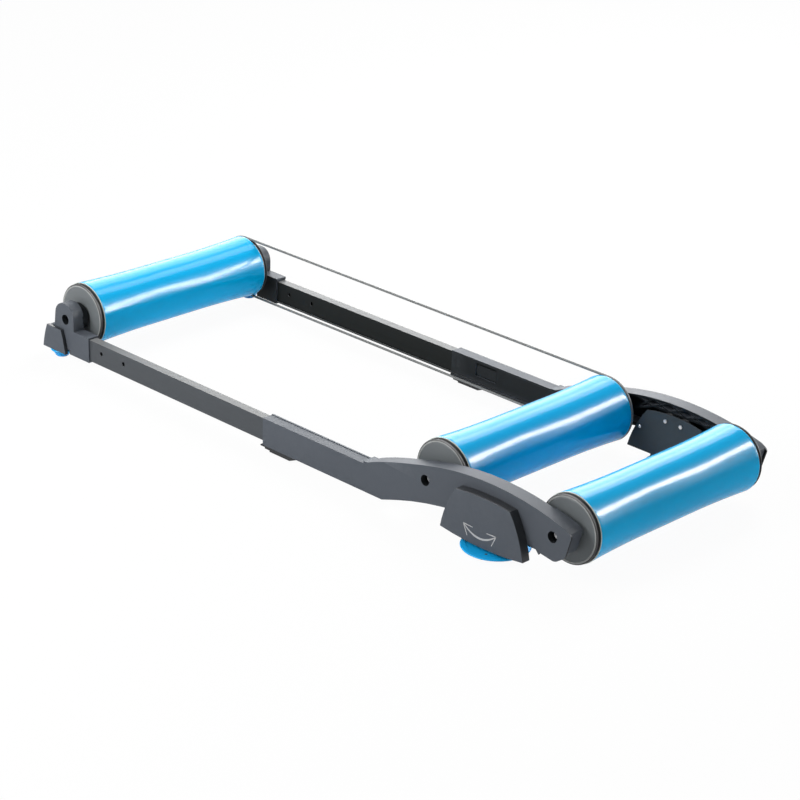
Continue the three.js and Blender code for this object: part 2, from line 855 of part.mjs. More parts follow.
// Levelling disc: a shallow dish, flat where it stands on the floor, with one notch for a finger
function levellingDisc(side, sizes, x, y) {
  const { radius, rimTop, rimHeight, contactRadius, notch } = sizes;
  const geometry = new THREE.LatheGeometry([
    [0, -axleHeight],
    [contactRadius, -axleHeight],
    [radius - notch, rimTop - rimHeight],
    [radius, rimTop - 0.5 * rimHeight],
    [radius - 0.25 * notch, rimTop],
    [0, rimTop],
    [0, -axleHeight],
  ].map(([r, z]) => new THREE.Vector2(r, z)), bigRound);
  geometry.rotateX(Math.PI / 2);
  geometry.translate(x, side.sign * y, 0);
  const grip = new THREE.CylinderGeometry(notch, notch, 2 * rimHeight, smallRound);
  grip.rotateX(Math.PI / 2);
  grip.translate(x, side.sign * (y + radius), rimTop);
  return cut(solid(geometry), solid(grip));
}

// Points of an edge that swells outward by a given amount, without its two ends
function swollen(x0, z0, x1, z1, bulge) {
  const start = new THREE.Vector2(x0, z0);
  const run = new THREE.Vector2(x1, z1).sub(start);
  const out = new THREE.Vector2(run.y, -run.x).normalize();
  return Array.from({ length: arcSteps - 1 }, (_, i) => {
    const share = (i + 1) / arcSteps;
    const point = start.clone().addScaledVector(run, share);
    point.addScaledVector(out, 4 * bulge * share * (1 - share));
    return [point.x, point.y];
  });
}

// Rear foot carrier: inner plate with the wheels, base under the rail, wall inside the cover
function rearCarrier(side) {
  const { topHalf, topZ, crownZ, plateHalf, bottomZ, innerY, plate, baseHalf, baseBottom } = rearFoot;
  const { sideBulge, wallTop } = rearFoot;
  const crownRadius = archRadius(topHalf, crownZ - topZ);
  const arch = archPoints(
    swingCentreX, crownZ, crownRadius, swingCentreX - topHalf, swingCentreX + topHalf, arcSteps,
  );
  const innerPlate = slab(side, outlineOf([
    [swingCentreX - plateHalf, bottomZ],
    ...swollen(swingCentreX - plateHalf, bottomZ, swingCentreX - topHalf, topZ, -sideBulge),
    ...arch,
    ...swollen(swingCentreX + topHalf, topZ, swingCentreX + plateHalf, bottomZ, -sideBulge),
    [swingCentreX + plateHalf, bottomZ],
  ]), innerY, innerY + plate);
  const baseTop = railPathBottom;
  const left = swingCentreX - baseHalf;
  const right = swingCentreX + baseHalf;
  const skirt = block(side, left, right, innerY, innerY + plate, baseBottom, bottomZ + overrun);
  const base = block(side, left, right, innerY, coverInnerY + plate, baseBottom, baseTop);
  const wall = block(side, left, right, coverInnerY, coverInnerY + plate, baseBottom, wallTop);
  const holes = [-1, 1].map((end) => peg(
    side, track.boltRadius + fitGap, swingCentreX + 0.5 * end * track.wheelPitch, track.wheelZ,
    innerY - overrun, innerY + plate + overrun, smallRound,
  ));
  return cut(join(innerPlate, skirt, base, wall), ...holes);
}

// Barrel outline of the rear cover, drawn in from its edge by an inset
function coverOutline(inset) {
  const { topHalf, topZ, coverCrownZ, bottomHalf, bottomZ, bottomSag, sideBulge } = rearFoot;
  const crownRadius = archRadius(topHalf, coverCrownZ - topZ);
  const high = archPoints(
    swingCentreX, coverCrownZ - inset, crownRadius, swingCentreX - topHalf + inset,
    swingCentreX + topHalf - inset, arcSteps,
  );
  const left = [swingCentreX - bottomHalf + inset, bottomZ + inset];
  const right = [swingCentreX + bottomHalf - inset, bottomZ + inset];
  return outlineOf([
    left,
    ...swollen(...left, ...high[0], -sideBulge),
    ...high,
    ...swollen(...high.at(-1), ...right, -sideBulge),
    right,
    ...swollen(...right, ...left, -bottomSag),
  ]);
}

// Rear foot cover: a shallow shell over the carrier's outer wall
function rearCover(side) {
  const { coverY, coverWall, baseHalf, bottomZ, bottomSag, wallTop, plate } = rearFoot;
  const shell = slab(side, coverOutline(0), coverInnerY, coverY);
  const hollow = slab(side, coverOutline(coverWall), coverInnerY - overrun, coverY - coverWall);
  const gate = block(
    side, swingCentreX - baseHalf - fitGap, swingCentreX + baseHalf + fitGap, coverInnerY - overrun,
    coverInnerY + plate + fitGap, bottomZ - bottomSag - overrun, wallTop,
  );
  return cut(shell, hollow, gate);
}

function wheel(side, radius, x, z, y0, y1) {
  return turned(side, [
    [track.boltRadius + fitGap, y0],
    [radius, y0],
    [radius, y1],
    [track.boltRadius + fitGap, y1],
  ], x, z, smallRound);
}

function wheelBolt(side, x, z, faceY, endY) {
  const seatY = faceY - fitGap;
  return turned(side, [
    [0, seatY - track.headHeight],
    [track.headRadius, seatY - track.headHeight],
    [track.headRadius, seatY],
    [track.boltRadius, seatY],
    [track.boltRadius, endY],
    [0, endY],
  ], x, z, smallRound);
}

// Front foot: cover, base and the post that carries its wheel, in one moulding
function frontFootBody(side) {
  const f = frontFoot;
  const cover = slab(side, outlineOf([
    [f.bottomFrontX, f.bottomZ],
    ...swollen(f.bottomFrontX, f.bottomZ, f.topFrontX, f.topZ, -f.sideBulge),
    [f.topFrontX, f.topZ],
    [f.topRearX, f.topZ],
    ...swollen(f.topRearX, f.topZ, f.bottomRearX, f.bottomZ, -f.sideBulge),
    [f.bottomRearX, f.bottomZ],
  ]), bracket.outerY + 2 * fitGap, f.coverY);
  const base = block(
    side, f.centreX - f.baseHalf, f.centreX + f.baseHalf, bracket.innerY, f.coverY - overrun,
    f.baseBottom, f.baseTop,
  );
  const post = block(
    side, f.centreX - f.postHalf, f.centreX + f.postHalf, frontPostY, frontPostY + f.postThick,
    f.baseBottom, frontWheelZ + 0.5 * f.wheelRadius,
  );
  const hole = peg(
    side, track.boltRadius + fitGap, f.centreX, frontWheelZ, frontPostY - overrun,
    frontPostY + f.postThick + overrun, smallRound,
  );
  return cut(join(cover, base, post), hole);
}

for (const side of sides) {
  piece(`${side.name}_sleeve`, sleeveHalf(side), slatePlastic());
  piece(`${side.name}_arm`, armHalf(side), slatePlastic());
  piece(`${side.name}_sleeve_clip`, sleeveClip(side), blackPlastic());
  piece(`${side.name}_latch_tongue`, latchTongue(side), blackPlastic());
  piece(`${side.name}_rail`, railBar(side), darkRail());
  piece(`${side.name}_front_bracket`, bracketBody(side), slatePlastic());

  piece(`${side.name}_rear_foot_carrier`, rearCarrier(side), slatePlastic());
  piece(`${side.name}_rear_foot_cover`, rearCover(side), slatePlastic());
  piece(
    `${side.name}_rear_foot_disc`,
    levellingDisc(side, rearDisc, swingCentreX, rearDiscY),
    bluePlastic(),
  );
  const wheelY = rearFoot.innerY + rearFoot.plate + fitGap;
  [-1, 1].forEach((end, i) => {
    const x = swingCentreX + 0.5 * end * track.wheelPitch;
    piece(
      `${side.name}_rear_wheel_${i + 1}`,
      wheel(side, track.wheelRadius, x, track.wheelZ, arm.flangeY + fitGap, arm.flangeY + track.wheelWidth),
      blackPlastic(),
    );
    piece(
      `${side.name}_rear_wheel_bolt_${i + 1}`,
      wheelBolt(side, x, track.wheelZ, rearFoot.innerY, wheelY + track.wheelWidth),
      steel(),
    );
  });

  piece(`${side.name}_front_foot`, frontFootBody(side), slatePlastic());
  piece(
    `${side.name}_front_wheel`,
    wheel(
      side, frontFoot.wheelRadius, frontFoot.centreX, frontWheelZ, frontWheelY,
      frontWheelY + frontFoot.wheelWidth,
    ),
    blackPlastic(),
  );
  piece(
    `${side.name}_front_wheel_bolt`,
    wheelBolt(
      side, frontFoot.centreX, frontWheelZ, frontPostY, frontWheelY + frontFoot.wheelWidth,
    ),
    steel(),
  );
  piece(
    `${side.name}_front_foot_disc`,
    levellingDisc(side, frontDisc, frontFoot.centreX, frontDiscY),
    bluePlastic(),
  );
}

// Places the origin at the middle of the footprint, on the floor
const box = new THREE.Box3().setFromObject(object);
object.position.set(-0.5 * (box.min.x + box.max.x), 0, axleHeight);

export default object;
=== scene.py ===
"""Looks for a set of bike rollers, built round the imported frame.

Metres, +Z up. X runs from the front roller to the rear pair, and -Y is the near side.
"""

import math

import bmesh
import bpy
from mathutils import Matrix, Vector


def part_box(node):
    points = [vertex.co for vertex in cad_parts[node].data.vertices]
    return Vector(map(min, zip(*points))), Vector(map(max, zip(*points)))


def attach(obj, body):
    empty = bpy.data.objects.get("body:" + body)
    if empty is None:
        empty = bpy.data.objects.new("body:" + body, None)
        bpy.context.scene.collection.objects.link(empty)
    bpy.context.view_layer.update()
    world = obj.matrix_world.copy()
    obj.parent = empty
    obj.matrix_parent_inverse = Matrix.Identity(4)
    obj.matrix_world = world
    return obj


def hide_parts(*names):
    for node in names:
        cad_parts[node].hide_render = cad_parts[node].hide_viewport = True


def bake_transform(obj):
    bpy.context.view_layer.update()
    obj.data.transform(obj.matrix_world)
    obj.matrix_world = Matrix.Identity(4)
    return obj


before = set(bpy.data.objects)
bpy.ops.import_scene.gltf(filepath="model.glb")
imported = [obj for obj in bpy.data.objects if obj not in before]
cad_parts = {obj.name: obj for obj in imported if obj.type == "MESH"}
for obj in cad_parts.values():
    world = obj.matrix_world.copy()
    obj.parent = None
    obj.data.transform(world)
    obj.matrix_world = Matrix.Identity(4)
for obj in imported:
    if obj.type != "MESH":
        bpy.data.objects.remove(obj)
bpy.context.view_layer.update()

MM = 0.001
SIDES = {"near": -1, "far": 1}

# Sizes that the looks add to the frame, in millimetres
ROLLER_END_R = 59.0
ROLLER_WAIST_R = 55.0
ROLLER_BORE_R = 51.5
ROLLER_HALF = 197.0
ROLLER_WAIST_HALF = 60.0
ROLLER_LIP = 1.2
ROLLER_LIP_EASE = 0.36
ROLLER_FLARE_STEPS = 40
ROLLER_SIDES = 160

CAP_FACE = 205.2
CAP_FACE_R = 51.6
CAP_FACE_DIP = 0.3
CAP_RING_IN = 52.4
CAP_RING_OUT = 55.2
CAP_RING_PROUD = 0.3
CAP_EASE = 0.4
CAP_RIM_R = 57.5
CAP_RIM_SLOPE = 0.9
CAP_RIM_DIP = 0.5
CAP_RIM_DROP = 1.2
CAP_GROOVE_R = 54.5
CAP_GROOVE_IN = 197.3
CAP_GROOVE_OUT = 203.3
CAP_GROOVE_SLOPE = 0.9
CAP_HUB_R = 22.0
CAP_HUB_DIP = 1.2
CAP_HUB_SLOPE = 1.5
CAP_SEAT_R = 14.0
CAP_PLUG_R = 51.2
CAP_PLUG_WALL = 4.0
CAP_PLUG_IN = 183.0
CAP_BACK = 193.0

BEARING_BORE_R = 6.3
BEARING_BAND = 1.9
BEARING_DIP = 0.5
BEARING_SIDES = 64

BRACKET_INNER = 219.9
SKIN = 3.4
SEAT_R = 9.9
SEAM_REACH = 0.5

BELT_CORD_R = 2.2
BELT_SIDES = 12
BELT_WRAP_STEPS = 48
BELT_RUN_STEPS = 90

COVER_EASE = 0.9
PLASTIC_EASE = 0.8
RAIL_EASE = 0.7
SMALL_EASE = 0.5
PIN_EASE = 0.4
LATCH_EASE = 0.3
WELD = 0.002
HAIR = 0.05

WHEEL_BORE_R = 3.3
WHEEL_EASE = 0.8
WHEEL_SIDES = 64

REAR_DISC_CONTACT, REAR_DISC_RIM = 22.0, 4.0
FRONT_DISC_CONTACT, FRONT_DISC_RIM = 12.0, 3.5
DISC_LIP = 0.9
# Points of a disc's rim: distance from its outermost edge, and depth as a share of the rim's height
DISC_RIM_POINTS = ((3.0, 1.0), (0.6, 0.7), (0.0, 0.45), (0.7, 0.1), (2.0, 0.0), (9.0, 0.0))
DISC_DISH_INSET = 10.0
DISC_DIP = 0.8
DISC_SIDES = 180
# Painted shade of a notch in a disc's rim: how far in from the edge it reaches, and half its width
NOTCH_SHADE_INSET = 3.0
NOTCH_SHADE_HALF = 1.6
PIN_HOLE_REACH = 39.0
PIN_HOLE_R = 2.4
PIN_HOLE_DEPTH = 0.3
PIN_HOLE_PROUD = 0.06
PIN_HOLE_SIDES = 32

SCREW_R = 2.9
SCREW_TOP_R = 2.175
SCREW_HEIGHT = 1.2
SCREW_EDGE = 0.6
SCREW_SIDES = 40
SCREW_REACHES = (-71.0, 63.0)
SCREW_LEVEL = 67.0

ARROW_SINK = 0.05
ARROW_PROUD = 0.15
ARROW_SHIFT = 3.0
ARROW_DROP = 56.5
ARROW_HALF = 35.0
ARROW_SAG = 15.0
ARROW_STEPS = 20
ARROW_END_WIDTH = 1.2
ARROW_SWELL = 2.2
# The two barbs at each end of the arrow: how far each reaches back, and how far up
BARBS = ((20.0, -1.0), (9.0, -19.0))
BARB_WIDTHS = (1.8, 1.1)

# Angles in degrees
FLAT_ANGLE = 0.4
CRISP_ANGLE = 32
CORD_CRISP_ANGLE = 80
# Turn of a disc's painted notch shade, where its pin hole's painted shade lies too
NOTCH_SHADE_ANGLE = 69.5

# Parts of a face's normal along an axis that tell which way it looks, and so which faces get painted shade
# and painted highlights
FACING_IN = 0.3
SIDEWAYS = 0.5
TIP_REARWARD, TIP_NOT_UP, TIP_NOT_OUT = 0.25, 0.45, 0.6

# A point this near to a turned piece's axis, in metres, is one point instead of a ring
ON_AXIS = 1e-7

# Camera, fitted to the photograph
VIEW_AZIMUTH = 44.33
VIEW_ELEVATION = 23.21
VIEW_ROLL = 1.79
VIEW_DISTANCE = 4.3323
VIEW_TARGET = Vector((0.05557, -0.02863, 0.07104))
VIEW_LENS = 112.97
VIEW_SENSOR = 36
VIEW_CLIP = 60

# Finishes: depth of the relief in millimetres, and how far roughness strays from its mean
GRAIN_DEPTH = 0.1
LINE_DEPTH = 0.05
ROUGH_STRAY = 0.05
LINE_ROUGH_STRAY = 0.07

# Studio, in metres and watts
FLOOR_REACH = 12
# Share of the floor's look that is plain white, and of the backdrop's brightness that lights the object
FLOOR_WHITE = 0.96
BACKDROP_FILL = 0.3
LAMPS = [
    # name, direction, distance, width, height, power, lights the object, shines in it
    ("overhead softbox", (-0.198, 0.657, 0.727), 3.2, 1.0, 2.0, 76, True, True),
    ("back shine", (-0.623, 0.657, 0.425), 3.2, 2.2, 2.2, 122, False, True),
    ("strip shine", (0.610, 0.657, 0.443), 3.2, 0.3, 2.4, 285, False, True),
    ("front fill", (-0.35, -0.85, 0.6), 3.0, 1.6, 1.6, 60, True, False),
    ("near side shine", (-0.3, -0.683, 0.666), 3.2, 0.4, 2.4, 220, False, True),
]


def centre_of(node):
    low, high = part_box(node)
    return (low + high) / 2


# Materials


def add_node(tree, kind, **settings):
    made = tree.nodes.new(kind)
    for key, value in settings.items():
        setattr(made, key, value)
    return made


def add_input(group, name, value, kind="Float"):
    socket = group.interface.new_socket(name, in_out="INPUT", socket_type=f"NodeSocket{kind}")
    socket.default_value = value


def add_output(group, name):
    group.interface.new_socket(name, in_out="OUTPUT", socket_type="NodeSocketFloat")


def moulded_grain_group():
    """Fine spark-eroded grain of a moulding, and slow patches over it."""
    group = bpy.data.node_groups.new("moulded grain", "ShaderNodeTree")
    add_input(group, "Grains per metre", 900)
    add_input(group, "Patches per metre", 14)
    add_output(group, "Height")
    add_output(group, "Patches")
    entry = add_node(group, "NodeGroupInput")
    leave = add_node(group, "NodeGroupOutput")
    place = add_node(group, "ShaderNodeTexCoord")
    grain = add_node(group, "ShaderNodeTexNoise")
    grain.inputs["Detail"].default_value = 2
    patches = add_node(group, "ShaderNodeTexNoise")
    patches.inputs["Detail"].default_value = 3
    for texture, socket in ((grain, "Grains per metre"), (patches, "Patches per metre")):
        group.links.new(place.outputs["Object"], texture.inputs["Vector"])
        group.links.new(entry.outputs[socket], texture.inputs["Scale"])
    group.links.new(grain.outputs["Fac"], leave.inputs["Height"])
    group.links.new(patches.outputs["Fac"], leave.inputs["Patches"])
    return group


def edge_wear_group():
    """Mask of the corners that hands and floors rub."""
    group = bpy.data.node_groups.new("edge wear", "ShaderNodeTree")
    add_input(group, "Start", 0.53)
    add_input(group, "End", 0.62)
    add_input(group, "Breakup per metre", 120)
    add_output(group, "Wear")
    entry = add_node(group, "NodeGroupInput")
    leave = add_node(group, "NodeGroupOutput")
    shape = add_node(group, "ShaderNodeNewGeometry")
    spread = add_node(group, "ShaderNodeMapRange")
    place = add_node(group, "ShaderNodeTexCoord")
    breakup = add_node(group, "ShaderNodeTexNoise")
    both = add_node(group, "ShaderNodeMath", operation="MULTIPLY")
    group.links.new(shape.outputs["Pointiness"], spread.inputs["Value"])
    group.links.new(entry.outputs["Start"], spread.inputs["From Min"])
    group.links.new(entry.outputs["End"], spread.inputs["From Max"])
    group.links.new(place.outputs["Object"], breakup.inputs["Vector"])
    group.links.new(entry.outputs["Breakup per metre"], breakup.inputs["Scale"])
    group.links.new(spread.outputs["Result"], both.inputs[0])
    group.links.new(breakup.outputs["Fac"], both.inputs[1])
    group.links.new(both.outputs[0], leave.inputs["Wear"])
    return group


def drawn_lines_group():
    """Fine lines that run one way, as on drawn metal or a turned skin."""
    group = bpy.data.node_groups.new("drawn lines", "ShaderNodeTree")
    add_input(group, "Stretch", (4, 900, 900), "Vector")
    add_output(group, "Lines")
    entry = add_node(group, "NodeGroupInput")
    leave = add_node(group, "NodeGroupOutput")
    place = add_node(group, "ShaderNodeTexCoord")
    stretched = add_node(group, "ShaderNodeVectorMath", operation="MULTIPLY")
    lines = add_node(group, "ShaderNodeTexNoise")
    lines.inputs["Scale"].default_value = 1
    lines.inputs["Detail"].default_value = 4
    group.links.new(place.outputs["Object"], stretched.inputs[0])
    group.links.new(entry.outputs["Stretch"], stretched.inputs[1])
    group.links.new(stretched.outputs[0], lines.inputs["Vector"])
    group.links.new(lines.outputs["Fac"], leave.inputs["Lines"])
    return group


GRAIN = moulded_grain_group()
WEAR = edge_wear_group()
LINES = drawn_lines_group()


def placed_group(tree, group, **values):
    node = add_node(tree, "ShaderNodeGroup")
    node.node_tree = group
    for name, value in values.items():
        node.inputs[name.replace("_", " ")].default_value = value
    return node


def two_tone(tree, mask, dark, light):
    mixed = add_node(tree, "ShaderNodeMix", data_type="RGBA")
    mixed.inputs["A"].default_value = (*dark, 1)
    mixed.inputs["B"].default_value = (*light, 1)
    tree.links.new(mask, mixed.inputs["Factor"])
    return mixed.outputs["Result"]


def spread_value(tree, mask, low, high):
    ranged = add_node(tree, "ShaderNodeMapRange")
    ranged.inputs["To Min"].default_value = low
    ranged.inputs["To Max"].default_value = high
    tree.links.new(mask, ranged.inputs["Value"])
    return ranged.outputs["Result"]


def new_finish(name):
    finish = bpy.data.materials.new(name)
    finish.use_nodes = True
    tree = finish.node_tree
    return finish, tree, tree.nodes["Principled BSDF"]


def bumped(tree, shader, height, strength, distance):
    bump = add_node(tree, "ShaderNodeBump")
    bump.inputs["Strength"].default_value = strength
    bump.inputs["Distance"].default_value = distance
    tree.links.new(height, bump.inputs["Height"])
    tree.links.new(bump.outputs["Normal"], shader.inputs["Normal"])


def seen_or_mirrored(tree):
    """1 where the camera sees a thing itself or its mirror image, and 0 where it only lights others."""
    seen = add_node(tree, "ShaderNodeLightPath")
    either = add_node(tree, "ShaderNodeMath", operation="MAXIMUM")
    tree.links.new(seen.outputs["Is Camera Ray"], either.inputs[0])
    tree.links.new(seen.outputs["Is Glossy Ray"], either.inputs[1])
    return seen, either.outputs[0]


def moulded_plastic(name, dark, light, worn, rough, grains=900, bump=0.35, specular=0.5):
    """Grained plastic: slow patches in its colour, and corners rubbed a little paler."""
    finish, tree, shader = new_finish(name)
    grain = placed_group(tree, GRAIN, Grains_per_metre=grains)
    wear = placed_group(tree, WEAR)
    body = two_tone(tree, grain.outputs["Patches"], dark, light)
    rubbed = add_node(tree, "ShaderNodeMix", data_type="RGBA")
    rubbed.inputs["B"].default_value = (*worn, 1)
    tree.links.new(body, rubbed.inputs["A"])
    tree.links.new(wear.outputs["Wear"], rubbed.inputs["Factor"])
    tree.links.new(rubbed.outputs["Result"], shader.inputs["Base Color"])
    roughness = spread_value(tree, grain.outputs["Patches"], rough - ROUGH_STRAY, rough + ROUGH_STRAY)
    tree.links.new(roughness, shader.inputs["Roughness"])
    shader.inputs["Specular IOR Level"].default_value = specular
    bumped(tree, shader, grain.outputs["Height"], bump, GRAIN_DEPTH * MM)
    return finish


def roller_skin(name):
    """Glossy blue skin with the faint rings that turning leaves in it."""
    finish, tree, shader = new_finish(name)
    rings = placed_group(tree, LINES, Stretch=(30, 700, 30))
    patches = placed_group(tree, GRAIN, Grains_per_metre=500, Patches_per_metre=9)
    colour = two_tone(tree, patches.outputs["Patches"], (0.0, 0.46, 0.88), (0.0, 0.49, 0.92))
    tree.links.new(colour, shader.inputs["Base Color"])
    roughness = spread_value(tree, rings.outputs["Lines"], 0.2, 0.3)
    tree.links.new(roughness, shader.inputs["Roughness"])
    shader.inputs["Specular IOR Level"].default_value = 0.03
    shader.inputs["Coat Weight"].default_value = 0.16
    shader.inputs["Coat Roughness"].default_value = 0.11
    shader.inputs["Coat IOR"].default_value = 1.4
    bumped(tree, shader, rings.outputs["Lines"], 0.12, LINE_DEPTH * MM)
    return finish


def drawn_metal(name, dark, light, rough, metallic, stretch, specular=0.5):
    finish, tree, shader = new_finish(name)
    lines = placed_group(tree, LINES, Stretch=stretch)
    colour = two_tone(tree, lines.outputs["Lines"], dark, light)
    tree.links.new(colour, shader.inputs["Base Color"])
    roughness = spread_value(tree, lines.outputs["Lines"], rough - ROUGH_STRAY, rough + LINE_ROUGH_STRAY)
    tree.links.new(roughness, shader.inputs["Roughness"])
    shader.inputs["Metallic"].default_value = metallic
    shader.inputs["Specular IOR Level"].default_value = specular
    bumped(tree, shader, lines.outputs["Lines"], 0.15, LINE_DEPTH * MM)
    return finish


def studio_white(name):
    """Floor that the camera sees nearly white, with the object's own soft shadow on it."""
    finish, tree, shader = new_finish(name)
    shader.inputs["Base Color"].default_value = (0.9, 0.9, 0.9, 1)
    shader.inputs["Roughness"].default_value = 0.9
    shader.inputs["Specular IOR Level"].default_value = 0.0
    glow = add_node(tree, "ShaderNodeEmission")
    _, mirrored = seen_or_mirrored(tree)
    share = add_node(tree, "ShaderNodeMath", operation="MULTIPLY")
    share.inputs[1].default_value = FLOOR_WHITE
    mixed = add_node(tree, "ShaderNodeMixShader")
    tree.links.new(mirrored, share.inputs[0])
    tree.links.new(share.outputs[0], mixed.inputs["Fac"])
    tree.links.new(shader.outputs["BSDF"], mixed.inputs[1])
    tree.links.new(glow.outputs["Emission"], mixed.inputs[2])
    tree.links.new(mixed.outputs["Shader"], tree.nodes["Material Output"].inputs["Surface"])
    return finish


slate_plastic = moulded_plastic(
    "slate plastic", (0.076, 0.086, 0.102), (0.09, 0.101, 0.119), (0.13, 0.146, 0.168),
    rough=0.5, specular=0.09,
)
# Near black: the latch tongues' own colour, and painted shade on the arms' and brackets' inward faces, bolt
# seats and arm tips' rear sides
shade_and_dark_plastic = moulded_plastic(
    "painted shade and dark plastic", (0.01, 0.012, 0.014), (0.014, 0.017, 0.019), (0.03, 0.034, 0.038),
    rough=0.42, specular=0.08,
)
carrier_plastic = moulded_plastic(
    "carrier plastic", (0.042, 0.052, 0.06), (0.05, 0.061, 0.07), (0.08, 0.094, 0.106),
    rough=0.42, specular=0.1,
)
# Painted shade for the covers' side walls, glossy so that their edges still catch the lamps
cover_shade_plastic = moulded_plastic(
    "cover painted shade plastic", (0.016, 0.018, 0.021), (0.022, 0.025, 0.029), (0.05, 0.055, 0.062),
    rough=0.34, specular=0.4,
)
black_plastic = moulded_plastic(
    "black plastic", (0.01, 0.011, 0.013), (0.015, 0.016, 0.018), (0.04, 0.042, 0.046),
    rough=0.5, specular=0.3,
)
cap_plastic = moulded_plastic(
    "cap plastic", (0.14, 0.155, 0.163), (0.162, 0.178, 0.186), (0.23, 0.245, 0.252),
    rough=0.46, grains=700, specular=0.25,
)
# Painted highlight: the raised ring on a cap's face made paler, for the light its rounded edges catch
cap_ring_highlight_plastic = moulded_plastic(
    "cap ring painted highlight plastic", (0.3, 0.315, 0.31), (0.35, 0.365, 0.36), (0.42, 0.43, 0.43),
    rough=0.4, grains=700, specular=0.3,
)
# Near black: the caps' dark rims, and painted shade in the belt grooves, on the tubes' end faces and in the
# discs' notches and pin holes
groove_shade_plastic = moulded_plastic(
    "groove painted shade plastic", (0.02, 0.021, 0.022), (0.03, 0.031, 0.033), (0.05, 0.05, 0.05), rough=0.55,
)
disc_plastic = moulded_plastic(
    "disc plastic", (0.005, 0.42, 0.9), (0.01, 0.46, 0.95), (0.05, 0.5, 0.95), rough=0.4, specular=0.12,
)
belt_rubber = moulded_plastic(
    "belt rubber", (0.17, 0.175, 0.175), (0.21, 0.215, 0.215), (0.26, 0.26, 0.26),
    rough=0.55, grains=1500, specular=0.15,
)
arrow_paint = moulded_plastic(
    "arrow paint", (0.36, 0.37, 0.38), (0.42, 0.43, 0.44), (0.5, 0.5, 0.5), rough=0.5,
)
blue_skin = roller_skin("roller skin")
bare_tube = drawn_metal(
    "bare tube end", (0.5, 0.56, 0.52), (0.6, 0.66, 0.62),
    rough=0.4, metallic=0.0, stretch=(40, 900, 40), specular=0.3,
)
rail_metal = drawn_metal(
    "anodised rail", (0.055, 0.062, 0.07), (0.066, 0.073, 0.082),
    rough=0.36, metallic=0.1, stretch=(3, 1100, 1100), specular=0.2,
)
# Painted highlight: a paler copy of the rail for its top faces, standing for the backdrop's light on them
rail_top_highlight_metal = drawn_metal(
    "rail top painted highlight", (0.155, 0.16, 0.162), (0.185, 0.19, 0.193),
    rough=0.4, metallic=0.0, stretch=(3, 1100, 1100), specular=0.06,
)
# Painted shade: a darker copy of the rail for its faces towards the middle
rail_side_shade_metal = drawn_metal(
    "rail side painted shade", (0.008, 0.01, 0.01), (0.013, 0.015, 0.015),
    rough=0.42, metallic=0.0, stretch=(3, 1100, 1100), specular=0.08,
)
zinc_steel = drawn_metal(
    "zinc steel", (0.5, 0.51, 0.53), (0.64, 0.65, 0.66), rough=0.27, metallic=1.0, stretch=(600, 600, 600),
)
# Painted highlight: a far paler, less metallic copy of zinc steel, so the bolt heads show light deep in
# their bores
bolt_highlight_zinc = drawn_metal(
    "bolt painted highlight zinc", (0.8, 0.81, 0.83), (0.9, 0.91, 0.92), rough=0.35, metallic=0.3, stretch=(600, 600, 600),
)


# Meshes


def finished_mesh(name, bm, paints, crisp=CRISP_ANGLE):
    """Turns a bmesh into an object, smooth apart from edges sharper than crisp degrees."""
    bmesh.ops.recalc_face_normals(bm, faces=bm.faces)
    limit = math.radians(crisp)
    for face in bm.faces:
        face.smooth = True
    for edge in bm.edges:
        if len(edge.link_faces) == 2:
            edge.smooth = edge.calc_face_angle(0) < limit
    mesh = bpy.data.meshes.new(name)
    bm.to_mesh(mesh)
    bm.free()
    for paint in paints:
        mesh.materials.append(paint)
    made = bpy.data.objects.new(name, mesh)
    bpy.context.scene.collection.objects.link(made)
    return made


def turned(name, profile, centre, paints, axis="Y", sides=96, coat=None, ring=True):
    """Turns points of (radius, distance along) round a line. ring closes the profile on itself.

    coat gives the paint of each stretch of the profile.
    """
    bm = bmesh.new()
    loops = []
    for radius, along in profile:
        if radius < ON_AXIS:
            loops.append([bm.verts.new(spun(centre, axis, 0, along, 0))])
            continue
        loops.append([
            bm.verts.new(spun(centre, axis, radius, along, math.tau * k / sides)) for k in range(sides)
        ])
    stretches = len(profile) if ring else len(profile) - 1
    for i in range(stretches):
        first, second = loops[i], loops[(i + 1) % len(loops)]
        if len(first) == 1 and len(second) == 1:
            continue
        for k in range(sides):
            n = (k + 1) % sides
            corners = (
                first[k % len(first)], first[n % len(first)],
                second[n % len(second)], second[k % len(second)],
            )
            face = bm.faces.new(list(dict.fromkeys(corners)))
            face.material_index = coat[i] if coat else 0
    return finished_mesh(name, bm, paints)


def spun(centre, axis, radius, along, angle):
    if axis == "Y":
        return centre + Vector((radius * math.cos(angle), along, radius * math.sin(angle)))
    return centre + Vector((radius * math.cos(angle), radius * math.sin(angle), along))


def node_mesh(node):
    """Copy of a node's mesh, with the points that lie on one another made one."""
    bm = bmesh.new()
    bm.from_mesh(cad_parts[node].data)
    bmesh.ops.remove_doubles(bm, verts=bm.verts, dist=WELD * MM)
    return bm


def joined_mesh(first, second, seam_x, reach):
    """Mesh of two nodes that are one moulding. The second is drawn out over the seam to meet the first."""
    halves = []
    for node in (first, second):
        bm = node_mesh(node)
        if node == second:
            for vertex in bm.verts:
                if vertex.co.x < seam_x + reach:
                    vertex.co.x = seam_x - reach
        mesh = bpy.data.meshes.new(node)
        bm.to_mesh(mesh)
        bm.free()
        half = bpy.data.objects.new(f"{node}_half", mesh)
        bpy.context.scene.collection.objects.link(half)
        halves.append(half)
    union = halves[0].modifiers.new("union", "BOOLEAN")
    union.operation = "UNION"
    union.solver = "EXACT"
    union.object = halves[1]
    graph = bpy.context.evaluated_depsgraph_get()
    bm = bmesh.new()
    bm.from_mesh(halves[0].evaluated_get(graph).data)
    for half in halves:
        mesh = half.data
        bpy.data.objects.remove(half)
        bpy.data.meshes.remove(mesh)
    bmesh.ops.remove_doubles(bm, verts=bm.verts, dist=WELD * MM)
    return bm


